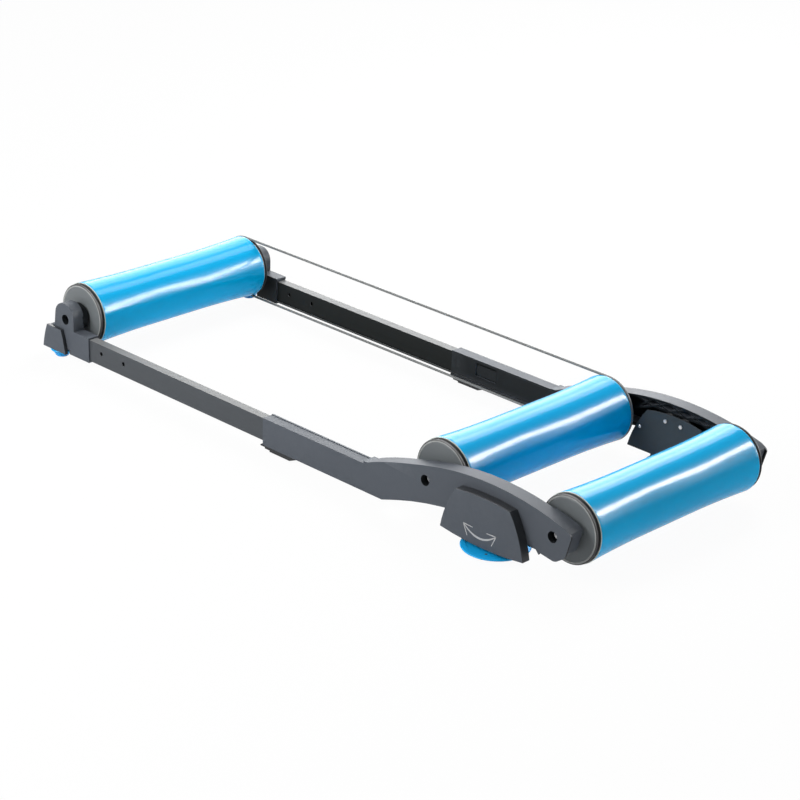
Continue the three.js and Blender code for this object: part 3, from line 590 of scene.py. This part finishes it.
def rounded(bm, name, paints, ease, chosen=lambda edge: True, paint_of=lambda face: 0):
    """Rounds the chosen outer edges of a mesh. paint_of tells each face's place in the paints."""
    bmesh.ops.dissolve_limit(bm, angle_limit=math.radians(FLAT_ANGLE), verts=bm.verts, edges=bm.edges)
    limit = math.radians(CRISP_ANGLE)
    edges = [
        e for e in bm.edges
        if len(e.link_faces) == 2 and e.is_convex and e.calc_face_angle(0) > limit and chosen(e)
    ]
    bmesh.ops.bevel(
        bm, geom=edges, offset=ease * MM, segments=2, profile=0.5, affect="EDGES", clamp_overlap=True
    )
    bmesh.ops.recalc_face_normals(bm, faces=bm.faces)
    for face in bm.faces:
        face.material_index = int(paint_of(face))
    made = finished_mesh(name, bm, paints)
    flats = made.modifiers.new("flat faces stay flat", "WEIGHTED_NORMAL")
    flats.keep_sharp = True
    return made


def eased(node, name, paint, ease, **settings):
    """Copies a node of the frame and rounds its chosen outer edges. paint is a finish or a list of them."""
    paints = paint if isinstance(paint, list) else [paint]
    made = rounded(node_mesh(node), name, paints, ease, **settings)
    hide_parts(node)
    return made


def ride_all(body, slot, *made):
    for piece in made:
        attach(piece, body)


# Rollers


def roller_profile():
    """Outside of a waisted tube from end to end, then back through its bore, and each stretch's paint."""
    outside = []
    span = ROLLER_HALF - ROLLER_LIP - ROLLER_WAIST_HALF
    for i in range(ROLLER_FLARE_STEPS + 1):
        share = i / ROLLER_FLARE_STEPS
        flare = (ROLLER_END_R - ROLLER_WAIST_R) * share * share
        outside.append((ROLLER_WAIST_R + flare, ROLLER_WAIST_HALF + span * share))
    outside.append((ROLLER_END_R - ROLLER_LIP_EASE, ROLLER_HALF - ROLLER_LIP_EASE))
    outside.append((ROLLER_END_R - ROLLER_LIP, ROLLER_HALF))
    mirrored = [(r, -y) for r, y in reversed(outside)]
    bore = [(ROLLER_BORE_R, ROLLER_HALF), (ROLLER_BORE_R, -ROLLER_HALF)]
    points = mirrored + outside + bore
    coat = []
    for (r, y), (next_r, next_y) in zip(points, points[1:] + points[:1]):
        end_face = abs(y) == abs(next_y) == ROLLER_HALF
        lip = min(abs(y), abs(next_y)) >= ROLLER_HALF - ROLLER_LIP
        # End faces get painted shade
        coat.append(2 if end_face else 1 if lip or r == next_r == ROLLER_BORE_R else 0)
    return [(r * MM, y * MM) for r, y in points], coat


def cap_profile(sign):
    """Outline of an end cap from its bearing seat over the face and back to its plug, and its paints."""
    points = [
        # radius, distance along the axle, paint of the stretch that starts here
        (CAP_SEAT_R, CAP_BACK, 0),
        (CAP_SEAT_R, CAP_FACE - CAP_HUB_DIP, 0),
        (CAP_HUB_R - CAP_HUB_SLOPE, CAP_FACE - CAP_HUB_DIP, 0),
        (CAP_HUB_R, CAP_FACE, 0),
        (CAP_FACE_R - CAP_EASE, CAP_FACE, 0),
        (CAP_FACE_R, CAP_FACE - CAP_FACE_DIP, 0),
        # Stretch with the ring's painted highlight
        (CAP_RING_IN, CAP_FACE - CAP_FACE_DIP, 1),
        (CAP_RING_IN + CAP_EASE, CAP_FACE + CAP_RING_PROUD, 1),
        # From here the dark rim, then the belt groove in painted shade
        (CAP_RING_OUT, CAP_FACE + CAP_RING_PROUD, 2),
        (CAP_RIM_R - CAP_RIM_SLOPE, CAP_FACE - CAP_RIM_DIP, 2),
        (CAP_RIM_R, CAP_FACE - CAP_RIM_DROP, 2),
        (CAP_RIM_R, CAP_GROOVE_OUT, 2),
        (CAP_GROOVE_R, CAP_GROOVE_OUT - CAP_GROOVE_SLOPE, 2),
        (CAP_GROOVE_R, CAP_GROOVE_IN, 2),
        (CAP_PLUG_R, CAP_GROOVE_IN, 0),
        (CAP_PLUG_R, CAP_PLUG_IN, 0),
        (CAP_PLUG_R - CAP_PLUG_WALL, CAP_PLUG_IN, 0),
        (CAP_PLUG_R - CAP_PLUG_WALL, CAP_BACK, 0),
    ]
    outline = [(r * MM, sign * s * MM) for r, s, _ in points]
    return outline, [paint for _, _, paint in points]


def make_roller(place, body):
    centre = centre_of(f"{place}_roller_tube")
    outline, coat = roller_profile()
    tube = turned(
        f"{place}_roller_skin", outline, centre, [blue_skin, bare_tube, groove_shade_plastic],
        sides=ROLLER_SIDES, coat=coat,
    )
    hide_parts(f"{place}_roller_tube")
    ride_all(body, "roller_blue", tube)
    for side, sign in SIDES.items():
        outline, coat = cap_profile(sign)
        cap = turned(
            f"{place}_cap_{side}", outline, centre, [cap_plastic, cap_ring_highlight_plastic, groove_shade_plastic],
            sides=ROLLER_SIDES, coat=coat,
        )
        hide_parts(f"{place}_roller_cap_{side}")
        ride_all(body, "cap_grey", cap)
        race = make_bearing(f"{place}_bearing_{side}", f"{place}_ball_bearing_{side}")
        ride_all(body, "steel", race)


def make_bearing(node, name):
    """Ball bearing: two rings with a shield set back between them."""
    low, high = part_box(node)
    centre = (low + high) / 2
    half = (high.y - low.y) / 2
    outer, inner = (high.x - low.x) / 2, BEARING_BORE_R * MM
    band = BEARING_BAND * MM
    dip = BEARING_DIP * MM
    profile = [
        (inner, -half), (inner + band, -half), (inner + band, -half + dip),
        (outer - band, -half + dip), (outer - band, -half), (outer, -half),
        (outer, half), (outer - band, half), (outer - band, half - dip),
        (inner + band, half - dip), (inner + band, half), (inner, half),
    ]
    shielded = [0, 0, 1, 0, 0, 0, 0, 0, 1, 0, 0, 0]
    made = turned(name, profile, centre, [zinc_steel, black_plastic], sides=BEARING_SIDES, coat=shielded)
    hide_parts(node)
    return made


for place in ("front", "middle", "rear"):
    make_roller(place, f"{place}_roller")
    body = "front_frame" if place == "front" else "rear_frame"
    axle = eased(f"{place}_axle", f"{place}_axle_rod", zinc_steel, SMALL_EASE)
    ride_all(body, "steel", axle)
    for side in SIDES:
        bolt = eased(f"{place}_axle_bolt_{side}", f"{place}_axle_screw_{side}", bolt_highlight_zinc, SMALL_EASE)
        ride_all(body, "steel", bolt)


# Drive belt


def make_belt():
    """Cord round the grooves of two rollers."""
    low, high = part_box("drive_belt")
    cord = BELT_CORD_R * MM
    loop = (high.z - low.z) / 2
    radius = loop - cord
    front, middle = centre_of("front_roller_tube"), centre_of("middle_roller_tube")
    front.y = middle.y = (low.y + high.y) / 2
    route = []
    for start, end, turn in ((middle, front, math.pi / 2), (front, middle, -math.pi / 2)):
        for i in range(BELT_WRAP_STEPS):
            route.append((start, turn - math.pi * i / BELT_WRAP_STEPS))
        for i in range(BELT_RUN_STEPS):
            route.append((start.lerp(end, i / BELT_RUN_STEPS), -turn))
    bm = bmesh.new()
    rings = []
    for centre, angle in route:
        out = Vector((math.cos(angle), 0, math.sin(angle)))
        ring = []
        for k in range(BELT_SIDES):
            around = math.tau * k / BELT_SIDES
            aside = Vector((0, cord * math.sin(around), 0))
            ring.append(bm.verts.new(centre + out * (radius + cord * math.cos(around)) + aside))
        rings.append(ring)
    for i, ring in enumerate(rings):
        following = rings[(i + 1) % len(rings)]
        for k in range(BELT_SIDES):
            n = (k + 1) % BELT_SIDES
            bm.faces.new((ring[k], ring[n], following[n], following[k]))
    belt = finished_mesh("belt_cord", bm, [belt_rubber], crisp=CORD_CRISP_ANGLE)
    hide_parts("drive_belt")
    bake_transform(belt)


make_belt()


# Frame


def outer_reach(node):
    """Distance of a node's outermost side from the middle of the frame."""
    low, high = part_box(node)
    return max(abs(low.y), abs(high.y))


def outer_rim(sign, reach):
    """Edges that lie within a hair of the outermost side face."""
    return lambda edge: all(sign * v.co.y > reach - HAIR * MM for v in edge.verts)


def painted_shade_faces(sign, axles, inner=0.0):
    """Faces that look towards the frame's middle, those nearer to it than inner, and the bolts' seats,
    which get painted shade.
    """
    def in_seat(vertex, axle):
        return math.hypot(vertex.co.x - axle.x, vertex.co.z - axle.z) < SEAT_R * MM

    def chosen(face):
        seated = any(all(in_seat(vertex, axle) for vertex in face.verts) for axle in axles)
        return seated or sign * face.normal.y < -FACING_IN or sign * face.calc_center_median().y < inner
    return chosen


def painted_shade_on_tip(sign, reach, thickness):
    """Side faces of the outermost plate that look towards the rear, which get painted shade."""
    def chosen(face):
        near_skin = sign * face.calc_center_median().y > reach - thickness
        rearward = face.normal.x > TIP_REARWARD and face.normal.z < TIP_NOT_UP
        return near_skin and rearward and abs(face.normal.y) < TIP_NOT_OUT
    return chosen


def side_wall(face):
    """Faces round the edge of a cover, which get painted shade."""
    return abs(face.normal.y) < SIDEWAYS


def rail_paint(sign):
    """Top faces painted pale as a painted highlight, and faces towards the middle of the frame painted
    darker as painted shade.
    """
    return lambda face: 1 if face.normal.z > SIDEWAYS else 2 if sign * face.normal.y < -SIDEWAYS else 0


def make_arm(side, sign):
    """Sleeve and arm as the one moulding that they are."""
    sleeve, arm = f"{side}_sleeve", f"{side}_arm"
    seam_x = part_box(sleeve)[1].x
    outermost = outer_reach(arm)
    inside = painted_shade_faces(sign, [centre_of("middle_axle"), centre_of("rear_axle")])
    tip_shade = painted_shade_on_tip(sign, outermost, SKIN * MM)
    # Faces towards the middle, in the bolts' seats and on the tip's rear sides get painted shade
    made = rounded(
        joined_mesh(sleeve, arm, seam_x, SEAM_REACH * MM), f"{side}_arm_moulding",
        [slate_plastic, shade_and_dark_plastic], PLASTIC_EASE, chosen=outer_rim(sign, outermost),
        paint_of=lambda face: inside(face) or tip_shade(face),
    )
    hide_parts(sleeve, arm)
    ride_all("rear_frame", "slate_plastic", made)


def make_bracket(side, sign):
    """Bracket at the front end of a rail, with the front axle's seat and the front foot's channel."""
    node = f"{side}_front_bracket"
    # Faces towards the middle, those nearer it than BRACKET_INNER, and the axle bolt's seat get painted
    # shade
    made = eased(
        node, f"{side}_bracket_moulding", [slate_plastic, shade_and_dark_plastic], PLASTIC_EASE,
        chosen=outer_rim(sign, outer_reach(node)),
        paint_of=painted_shade_faces(sign, [centre_of("front_axle")], BRACKET_INNER * MM),
    )
    ride_all("front_frame", "slate_plastic", made)


for side, sign in SIDES.items():
    make_arm(side, sign)
    make_bracket(side, sign)
    clip = eased(f"{side}_sleeve_clip", f"{side}_sleeve_clip_moulding", black_plastic, SMALL_EASE)
    ride_all("rear_frame", "black_plastic", clip)
    tongue = eased(f"{side}_latch_tongue", f"{side}_latch_moulding", shade_and_dark_plastic, LATCH_EASE)
    ride_all(f"{side}_latch", "black_plastic", tongue)
    rail = eased(
        f"{side}_rail", f"{side}_rail_bar", [rail_metal, rail_top_highlight_metal, rail_side_shade_metal], RAIL_EASE,
        paint_of=rail_paint(sign),
    )
    ride_all("front_frame", "rail_metal", rail)


# Feet


def make_wheel(node, name, body):
    """Small wheel that runs in the frame's track."""
    low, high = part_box(node)
    centre = (low + high) / 2
    half = (high.y - low.y) / 2
    radius = (high.x - low.x) / 2
    hole = WHEEL_BORE_R * MM
    soft = WHEEL_EASE * MM
    profile = [
        (hole, -half), (radius - soft, -half), (radius, -half + soft),
        (radius, half - soft), (radius - soft, half), (hole, half),
    ]
    wheel = turned(name, profile, centre, [black_plastic], sides=WHEEL_SIDES)
    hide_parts(node)
    ride_all(body, "black_plastic", wheel)


def make_disc(node, name, body, sign, contact, rim):
    """Levelling disc: a dish that thins to the face it stands on, with a notch's painted shade low on its
    rim.
    """
    low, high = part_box(node)
    centre = Vector(((low.x + high.x) / 2, (low.y + high.y) / 2, 0))
    radius = (high.x - low.x) / 2
    top = high.z - low.z
    lip, dished = DISC_LIP * MM, top - DISC_DIP * MM
    profile = [
        (0, 0), (contact - lip, 0), (contact, lip),
        *((radius - inset * MM, top - share * rim) for inset, share in DISC_RIM_POINTS),
        (radius - DISC_DISH_INSET * MM, dished), (0, dished),
    ]
    paints = [disc_plastic, groove_shade_plastic]
    disc = turned(name, profile, centre, paints, axis="Z", sides=DISC_SIDES, ring=False)
    # Rim faces near this turn get dark paint as the painted shade of a notch
    notch_shade_turn = sign * math.radians(NOTCH_SHADE_ANGLE)
    for face in disc.data.polygons:
        offset = face.center - centre
        turn = (math.atan2(offset.y, offset.x) - notch_shade_turn + math.pi) % math.tau - math.pi
        on_rim = offset.length > radius - NOTCH_SHADE_INSET * MM and offset.z < top - rim / 2
        if on_rim and abs(turn) * radius < NOTCH_SHADE_HALF * MM:
            face.material_index = 1
    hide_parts(node)
    ride_all(body, "disc_blue", disc)


def make_pin_hole_shade(name, node, body, sign):
    """Painted shade of the small blind hole in the top of a levelling disc: a thin dark disc over its
    mouth.
    """
    low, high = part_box(node)
    turn = sign * math.radians(NOTCH_SHADE_ANGLE)
    offset = Vector((math.cos(turn), math.sin(turn), 0)) * PIN_HOLE_REACH * MM
    spot = Vector(((low.x + high.x) / 2, (low.y + high.y) / 2, high.z - DISC_DIP * MM)) + offset
    radius, depth, proud = PIN_HOLE_R * MM, PIN_HOLE_DEPTH * MM, PIN_HOLE_PROUD * MM
    profile = [(0, -depth), (radius, -depth), (radius, proud), (0, proud)]
    hole_shade = turned(name, profile, spot, [groove_shade_plastic], axis="Z", sides=PIN_HOLE_SIDES, ring=False)
    ride_all(body, "black_plastic", hole_shade)


def make_screw(name, spot, sign, body):
    """Head of a screw, facing the middle of the frame."""
    profile = [
        (0, 0), (SCREW_R, 0), (SCREW_R, SCREW_EDGE), (SCREW_TOP_R, SCREW_HEIGHT), (0, SCREW_HEIGHT),
    ]
    facing = [(r * MM, -sign * s * MM) for r, s in profile]
    screw = turned(name, facing, spot, [zinc_steel], sides=SCREW_SIDES, ring=False)
    ride_all(body, "steel", screw)


def ribbon(bm, points, widths, y_in, y_out):
    """Flat raised stroke through points of (x, z), with a width at each."""
    left, right = [], []
    for i, point in enumerate(points):
        before = points[max(i - 1, 0)]
        after = points[min(i + 1, len(points) - 1)]
        along = Vector((after[0] - before[0], after[1] - before[1])).normalized()
        across = Vector((-along.y, along.x)) * widths[i] / 2
        left.append((point[0] + across.x, point[1] + across.y))
        right.append((point[0] - across.x, point[1] - across.y))
    outline = left + right[::-1]
    below = [bm.verts.new((x, y_in, z)) for x, z in outline]
    above = [bm.verts.new((x, y_out, z)) for x, z in outline]
    count = len(points)
    last = len(outline) - 1
    for row in (below, above):
        for i in range(count - 1):
            bm.faces.new((row[i], row[i + 1], row[last - i - 1], row[last - i]))
    for i in range(len(outline)):
        n = (i + 1) % len(outline)
        bm.faces.new((below[i], below[n], above[n], above[i]))


def make_arrow(side, sign):
    """Curved double-headed arrow that shows how the frame swings."""
    node = f"{side}_rear_foot_cover"
    face = outer_reach(node)
    middle = centre_of(node).x - ARROW_SHIFT * MM
    tip_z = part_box(node)[1].z - ARROW_DROP * MM
    half = ARROW_HALF * MM
    arc, widths = [], []
    for i in range(ARROW_STEPS + 1):
        share = 2 * i / ARROW_STEPS - 1
        bulge = 1 - share * share
        arc.append((middle + half * share, tip_z - ARROW_SAG * MM * bulge))
        widths.append((ARROW_END_WIDTH + ARROW_SWELL * bulge) * MM)
    bm = bmesh.new()
    inside, outside = sign * (face - ARROW_SINK * MM), sign * (face + ARROW_PROUD * MM)
    ribbon(bm, arc, widths, inside, outside)
    for end in (-1, 1):
        tip = (middle + end * half, tip_z)
        for reach, drop in BARBS:
            barb = (tip[0] - end * reach * MM, tip[1] + drop * MM)
            ribbon(bm, [tip, barb], [width * MM for width in BARB_WIDTHS], inside, outside)
    arrow = finished_mesh(f"{side}_swing_arrow", bm, [arrow_paint])
    ride_all(f"{side}_rear_foot", "cap_grey", arrow)


def make_cover(node, name, sign):
    """Shell that hides a foot, with painted shade on its side walls."""
    return eased(
        node, name, [slate_plastic, cover_shade_plastic], COVER_EASE,
        chosen=outer_rim(sign, outer_reach(node)), paint_of=side_wall,
    )


def make_rear_foot(side, sign):
    foot, disc = f"{side}_rear_foot", f"{side}_rear_foot_disc"
    cover = make_cover(f"{side}_rear_foot_cover", f"{side}_cover_shell", sign)
    carrier = eased(f"{side}_rear_foot_carrier", f"{side}_carrier_moulding", carrier_plastic, SMALL_EASE)
    ride_all(foot, "slate_plastic", cover, carrier)
    make_arrow(side, sign)
    for i in (1, 2):
        pin = eased(f"{side}_rear_wheel_bolt_{i}", f"{side}_wheel_pin_{i}", zinc_steel, PIN_EASE)
        ride_all(foot, "steel", pin)
        make_wheel(f"{side}_rear_wheel_{i}", f"{side}_track_wheel_{i}", f"{side}_rear_roll_{i}")
    make_disc(
        disc, f"{side}_rear_levelling_disc", f"{side}_rear_disc", sign,
        REAR_DISC_CONTACT * MM, REAR_DISC_RIM * MM,
    )
    make_pin_hole_shade(f"{side}_rear_disc_pin_hole", disc, f"{side}_rear_disc", sign)
    low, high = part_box(f"{side}_rear_foot_carrier")
    inner = min(abs(low.y), abs(high.y))
    middle = (low.x + high.x) / 2
    for i, reach in enumerate(SCREW_REACHES):
        spot = Vector((middle + reach * MM, sign * inner, SCREW_LEVEL * MM))
        make_screw(f"{side}_carrier_screw_{i + 1}", spot, sign, foot)


def make_front_foot(side, sign):
    foot = f"{side}_front_foot_body"
    shoe = make_cover(f"{side}_front_foot", f"{side}_front_shoe", sign)
    ride_all(foot, "slate_plastic", shoe)
    pin = eased(f"{side}_front_wheel_bolt", f"{side}_front_wheel_pin", zinc_steel, PIN_EASE)
    ride_all(foot, "steel", pin)
    make_wheel(f"{side}_front_wheel", f"{side}_front_track_wheel", f"{side}_front_roll")
    make_disc(
        f"{side}_front_foot_disc", f"{side}_front_levelling_disc", f"{side}_front_disc", sign,
        FRONT_DISC_CONTACT * MM, FRONT_DISC_RIM * MM,
    )


for side, sign in SIDES.items():
    make_rear_foot(side, sign)
    make_front_foot(side, sign)


# Studio


def make_floor():
    bm = bmesh.new()
    corners = [(-1, -1), (1, -1), (1, 1), (-1, 1)]
    bm.faces.new([bm.verts.new((x * FLOOR_REACH, y * FLOOR_REACH, 0)) for x, y in corners])
    mesh = bpy.data.meshes.new("floor")
    bm.to_mesh(mesh)
    bm.free()
    mesh.materials.append(studio_white("studio floor"))
    floor = bpy.data.objects.new("floor", mesh)
    bpy.context.scene.collection.objects.link(floor)


def make_world():
    """White backdrop that lights the object less than its own brightness would."""
    world = bpy.data.worlds.new("studio")
    bpy.context.scene.world = world
    world.use_nodes = True
    tree = world.node_tree
    backdrop = tree.nodes["Background"]
    backdrop.inputs["Color"].default_value = (1, 1, 1, 1)
    seen, mirrored = seen_or_mirrored(tree)
    strength = add_node(tree, "ShaderNodeMapRange")
    strength.inputs["To Min"].default_value = BACKDROP_FILL
    strength.inputs["To Max"].default_value = 1.0
    through = add_node(tree, "ShaderNodeMath", operation="MAXIMUM")
    tree.links.new(mirrored, through.inputs[0])
    tree.links.new(seen.outputs["Is Transmission Ray"], through.inputs[1])
    tree.links.new(through.outputs[0], strength.inputs["Value"])
    tree.links.new(strength.outputs["Result"], backdrop.inputs["Strength"])


def make_lamp(name, towards, distance, width, height, power, spread, shine):
    """Softbox that looks back at the object along the direction given, to light it, shine in it or both."""
    light = bpy.data.lights.new(name, "AREA")
    light.shape = "RECTANGLE"
    light.size = width
    light.size_y = height
    light.energy = power
    lamp = bpy.data.objects.new(name, light)
    direction = Vector(towards).normalized()
    lamp.location = direction * distance
    lamp.rotation_euler = direction.to_track_quat("Z", "Y").to_euler()
    lamp.visible_diffuse = spread
    lamp.visible_glossy = shine
    bpy.context.scene.collection.objects.link(lamp)


def make_camera():
    """Camera of the photograph."""
    azimuth, elevation, roll = (math.radians(a) for a in (VIEW_AZIMUTH, VIEW_ELEVATION, VIEW_ROLL))
    back = Vector((
        math.sin(azimuth) * math.cos(elevation),
        -math.cos(azimuth) * math.cos(elevation),
        math.sin(elevation),
    ))
    level = Vector((math.cos(azimuth), math.sin(azimuth), 0))
    upright = back.cross(level)
    right = math.cos(roll) * level + math.sin(roll) * upright
    up = math.cos(roll) * upright - math.sin(roll) * level
    data = bpy.data.cameras.new("camera")
    data.sensor_width = VIEW_SENSOR
    data.lens = VIEW_LENS
    data.clip_end = VIEW_CLIP
    camera = bpy.data.objects.new("camera", data)
    turn = Matrix((right, up, back)).transposed().to_4x4()
    camera.matrix_world = Matrix.Translation(VIEW_TARGET + VIEW_DISTANCE * back) @ turn
    bpy.context.scene.collection.objects.link(camera)
    bpy.context.scene.camera = camera


make_floor()
make_world()
for lamp in LAMPS:
    make_lamp(*lamp)
make_camera()
bpy.context.scene.view_settings.view_transform = "Standard"
